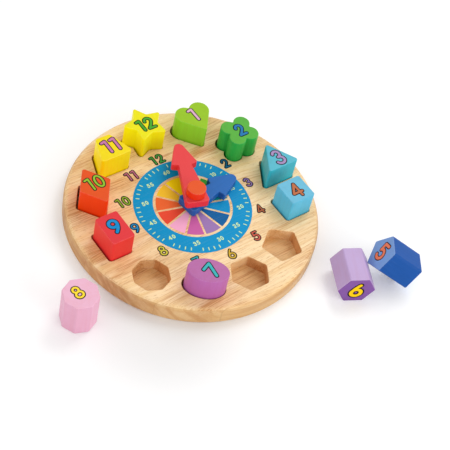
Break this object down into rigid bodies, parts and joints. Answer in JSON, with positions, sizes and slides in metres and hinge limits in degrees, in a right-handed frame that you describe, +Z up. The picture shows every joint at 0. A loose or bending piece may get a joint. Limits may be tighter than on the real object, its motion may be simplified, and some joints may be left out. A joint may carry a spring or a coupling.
{
  "type": "clock shape sorter",
  "caption": "Round wooden toy clock with turning hands and numbered shape blocks that sit in matching sockets around the dial.",
  "frame": {"origin": "middle of the board's flat underside, on the surface that it rests on", "axes": "+Z up out of the dial, +Y towards 12 o'clock, +X towards 3 o'clock"},
  "size_m": [0.2931, 0.266, 0.044],
  "materials": {
    "rubberwood": "satin lacquer",
    "bare_dowel": "bare wood",
    "cap_paint": "satin paint",
    "hour_hand_paint": "satin paint",
    "minute_hand_paint": "satin paint",
    "heart_paint": "satin paint",
    "flower_paint": "satin paint",
    "triangle_paint": "satin paint",
    "square_paint": "satin paint",
    "pentagon_paint": "satin paint",
    "hexagon_paint": "satin paint",
    "oval_paint": "satin paint",
    "octagon_paint": "satin paint",
    "rectangle_paint": "satin paint",
    "rhombus_paint": "satin paint",
    "trapezoid_paint": "satin paint",
    "star_paint": "satin paint"
  },
  "bodies": {
    "board": {"board": "rubberwood", "center_dowel": "bare_dowel", "peg_cap": "cap_paint"},
    "hour_hand": {"hour_hand": "hour_hand_paint"},
    "minute_hand": {"minute_hand": "minute_hand_paint"},
    "heart_block": {"block_01_heart": "heart_paint"},
    "flower_block": {"block_02_flower": "flower_paint"},
    "triangle_block": {"block_03_triangle": "triangle_paint"},
    "square_block": {"block_04_square": "square_paint"},
    "pentagon_block": {"block_05_pentagon": "pentagon_paint"},
    "hexagon_block": {"block_06_hexagon": "hexagon_paint"},
    "oval_block": {"block_07_oval": "oval_paint"},
    "octagon_block": {"block_08_octagon": "octagon_paint"},
    "rectangle_block": {"block_09_rectangle": "rectangle_paint"},
    "rhombus_block": {"block_10_rhombus": "rhombus_paint"},
    "trapezoid_block": {"block_11_trapezoid": "trapezoid_paint"},
    "star_block": {"block_12_star": "star_paint"}
  },
  "joints": [
    {"name": "hour_hand_pivot", "type": "hinge", "parent": "board", "child": "hour_hand", "pos_m": [0, 0, 0.02115], "axis": [0, 0, -1], "continuous": true},
    {"name": "minute_hand_pivot", "type": "hinge", "parent": "board", "child": "minute_hand", "pos_m": [0, 0, 0.02905], "axis": [0, 0, -1], "continuous": true},
    {"name": "heart_lift", "type": "slide", "parent": "board", "child": "heart_block", "axis": [0, 0, 1], "range_m": [0, 0.04]},
    {"name": "flower_lift", "type": "slide", "parent": "board", "child": "flower_block", "axis": [0, 0, 1], "range_m": [0, 0.04]},
    {"name": "triangle_lift", "type": "slide", "parent": "board", "child": "triangle_block", "axis": [0, 0, 1], "range_m": [0, 0.04]},
    {"name": "square_lift", "type": "slide", "parent": "board", "child": "square_block", "axis": [0, 0, 1], "range_m": [0, 0.04]},
    {"name": "pentagon_lift", "type": "slide", "parent": "hexagon_block", "child": "pentagon_block", "axis": [0, 0, 1], "range_m": [0, 0.04]},
    {"name": "hexagon_lift", "type": "slide", "parent": "board", "child": "hexagon_block", "axis": [0, 0, 1], "range_m": [0, 0.04]},
    {"name": "oval_lift", "type": "slide", "parent": "board", "child": "oval_block", "axis": [0, 0, 1], "range_m": [0, 0.04]},
    {"name": "octagon_lift", "type": "slide", "parent": "board", "child": "octagon_block", "axis": [0, 0, 1], "range_m": [0, 0.04]},
    {"name": "rectangle_lift", "type": "slide", "parent": "board", "child": "rectangle_block", "axis": [0, 0, 1], "range_m": [0, 0.04]},
    {"name": "rhombus_lift", "type": "slide", "parent": "board", "child": "rhombus_block", "axis": [0, 0, 1], "range_m": [0, 0.04]},
    {"name": "trapezoid_lift", "type": "slide", "parent": "board", "child": "trapezoid_block", "axis": [0, 0, 1], "range_m": [0, 0.04]},
    {"name": "star_lift", "type": "slide", "parent": "board", "child": "star_block", "axis": [0, 0, 1], "range_m": [0, 0.04]}
  ]
}
